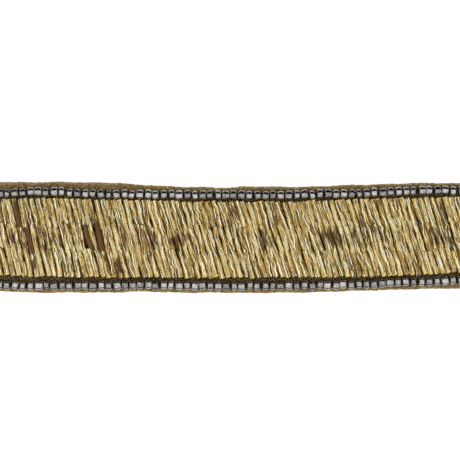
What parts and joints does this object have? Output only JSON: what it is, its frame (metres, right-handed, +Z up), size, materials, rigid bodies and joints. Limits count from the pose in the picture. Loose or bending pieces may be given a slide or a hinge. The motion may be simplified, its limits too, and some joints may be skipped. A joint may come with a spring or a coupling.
{
  "type": "beaded trim",
  "caption": "Flat length of woven tape with a strung row of seed beads near each edge and a field of slanted bugle beads in three ranks between them.",
  "frame": {"origin": "middle of the trim's flat underside", "axes": "+X along the trim, +Y across it towards the upper row of seed beads, +Z up from the underside to the beads"},
  "size_m": [0.16, 0.0364, 0.0043],
  "materials": {
    "tape": "matt olive-brown woven cotton tape with soft edges",
    "seed_glass": "gunmetal coated glass, mirror-like and grey",
    "bugle_glass": "pale gold glass lined with silver, crinkled and bright",
    "thread": "dark brown sewing thread"
  },
  "bodies": {
    "root": {"backing_tape": "tape", "seed_row_upper": "seed_glass", "seed_row_lower": "seed_glass", "bugle_rank_upper": "bugle_glass", "bugle_rank_middle": "bugle_glass", "bugle_rank_lower": "bugle_glass"}
  },
  "joints": []
}
